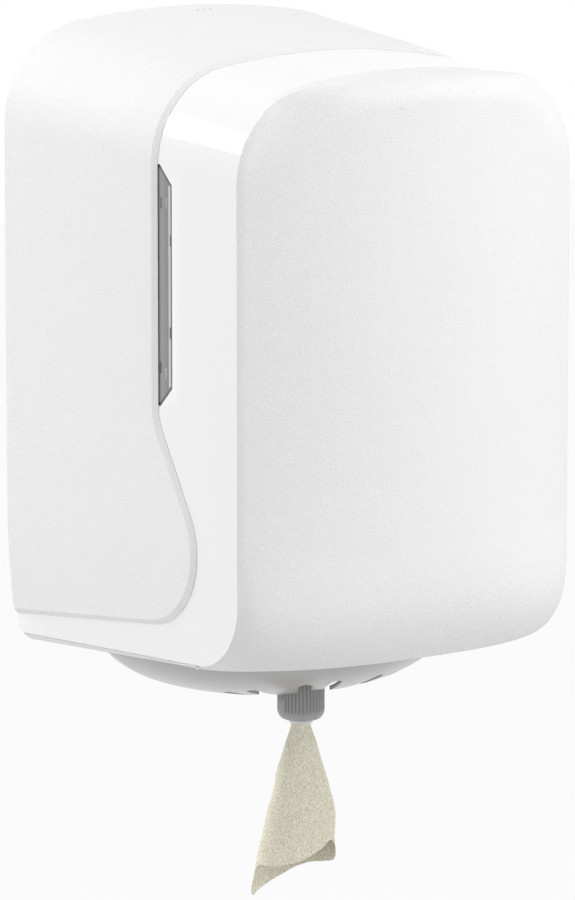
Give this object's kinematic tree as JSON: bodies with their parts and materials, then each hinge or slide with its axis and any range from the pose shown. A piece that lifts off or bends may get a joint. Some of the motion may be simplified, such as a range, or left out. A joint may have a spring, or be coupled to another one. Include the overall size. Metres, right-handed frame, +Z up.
{
  "type": "centrefeed roll dispenser",
  "caption": "Wall-hung centrefeed paper roll dispenser with a hinged white cover, smoked side windows, a domed feed bowl and a ribbed nozzle with a paper tail.",
  "frame": {"origin": "on the wall face of the back plate, on the middle plane, half way up the cover's sides", "axes": "+Z up, +Y into the wall, +X to the right of someone who faces the dispenser"},
  "size_m": [0.2498, 0.2372, 0.4933],
  "materials": {
    "cover_shell": "polished white",
    "rear_hood": "finely grained white",
    "front_panel": "finely grained white",
    "window_left": "clear smoke grey",
    "window_right": "clear smoke grey",
    "lock_case": "plain white",
    "latch_slider": "plain white",
    "latch_spring_left": "bright wire",
    "latch_spring_right": "bright wire",
    "latch_strike": "bright",
    "wall_plate": "plain white",
    "hinge_pin_left": "bright",
    "hinge_pin_right": "bright",
    "roll_tray": "plain white",
    "feed_bowl": "satin light grey",
    "feed_funnel": "plain pale grey",
    "nozzle_collar": "satin mid grey",
    "nozzle_insert": "plain pale grey",
    "paper_roll": "soft unbleached tissue",
    "paper_tail": "soft unbleached tissue",
    "bowl_screw_1": "bright",
    "bowl_screw_2": "bright",
    "bowl_screw_3": "bright",
    "bowl_screw_4": "bright",
    "funnel_screw_1": "bright",
    "funnel_screw_2": "bright",
    "funnel_screw_3": "bright",
    "tray_screw_left": "bright",
    "tray_screw_right": "bright"
  },
  "bodies": {
    "wall_unit": {"wall_plate": "wall_plate", "latch_strike": "latch_strike", "roll_tray": "roll_tray", "feed_bowl": "feed_bowl", "feed_funnel": "feed_funnel", "hinge_pin_left": "hinge_pin_left", "hinge_pin_right": "hinge_pin_right", "bowl_screw_1": "bowl_screw_1", "bowl_screw_2": "bowl_screw_2", "bowl_screw_3": "bowl_screw_3", "bowl_screw_4": "bowl_screw_4", "funnel_screw_1": "funnel_screw_1", "funnel_screw_2": "funnel_screw_2", "funnel_screw_3": "funnel_screw_3", "tray_screw_left": "tray_screw_left", "tray_screw_right": "tray_screw_right", "paper_roll": "paper_roll"},
    "cover": {"cover_shell": "cover_shell", "rear_hood": "rear_hood", "front_panel": "front_panel", "window_left": "window_left", "window_right": "window_right", "lock_case": "lock_case", "latch_spring_left": "latch_spring_left", "latch_spring_right": "latch_spring_right"},
    "latch": {"latch_slider": "latch_slider"},
    "nozzle": {"nozzle_collar": "nozzle_collar", "nozzle_insert": "nozzle_insert"},
    "paper": {"paper_tail": "paper_tail"}
  },
  "joints": [
    {"name": "cover_hinge", "type": "hinge", "parent": "wall_unit", "child": "cover", "pos_m": [0, -0.011, -0.165], "axis": [1, 0, 0], "range_deg": [0, 90]},
    {"name": "latch_press", "type": "slide", "parent": "cover", "child": "latch", "axis": [0, 0, -1], "range_m": [0, 0.004], "stiffness_N_per_m": 600, "springref_m": -0.002, "deforming": ["latch_spring_left", "latch_spring_right"]},
    {"name": "nozzle_turn", "type": "hinge", "parent": "wall_unit", "child": "nozzle", "pos_m": [0, -0.1073, -0.2], "axis": [0, 0, 1], "range_deg": [0, 90]},
    {"name": "paper_pull", "type": "slide", "parent": "wall_unit", "child": "paper", "axis": [0, 0, -1], "range_m": [0, 0.06]}
  ]
}
